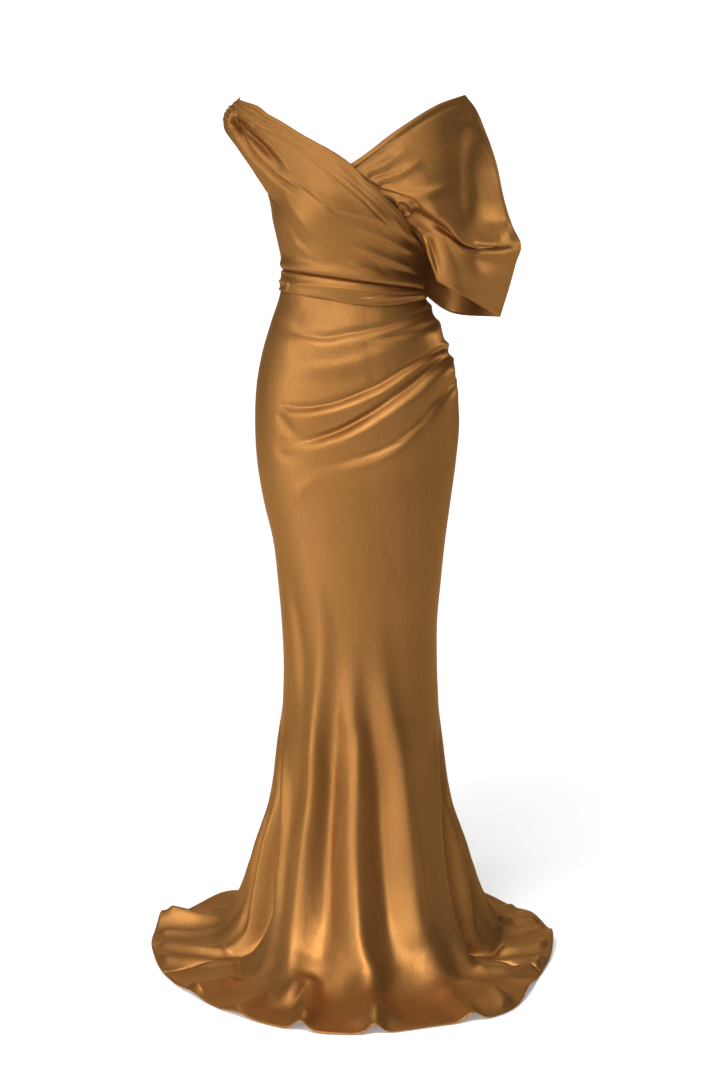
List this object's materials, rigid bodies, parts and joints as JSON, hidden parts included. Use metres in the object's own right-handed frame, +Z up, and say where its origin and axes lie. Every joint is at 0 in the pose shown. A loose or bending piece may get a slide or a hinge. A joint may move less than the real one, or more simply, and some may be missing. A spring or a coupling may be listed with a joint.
{
  "type": "long draped satin dress",
  "caption": "Full-length hollow satin dress with a wrapped V-neck bodice, one gathered strap, one draped cape sleeve, folds across the hip and a flared hem pooled on the floor.",
  "frame": {"origin": "middle of the shoulder line, where the wearer's shoulders hold the dress, 1.45 m above the floor that the hem lies on", "axes": "+Z up along the dress, -Y towards its front, +X towards the wearer's left, the side with the draped sleeve"},
  "size_m": [0.7192, 0.7606, 1.4909],
  "materials": {
    "satin": "bronze-brown satin with a strong sheen and a fine weave"
  },
  "bodies": {
    "root": {"wrap_over": "satin", "sleeve_front": "satin", "back_left": "satin", "back_right": "satin", "waist_band": "satin", "skirt_front": "satin", "skirt_back_left": "satin", "skirt_back_right": "satin"}
  },
  "joints": []
}
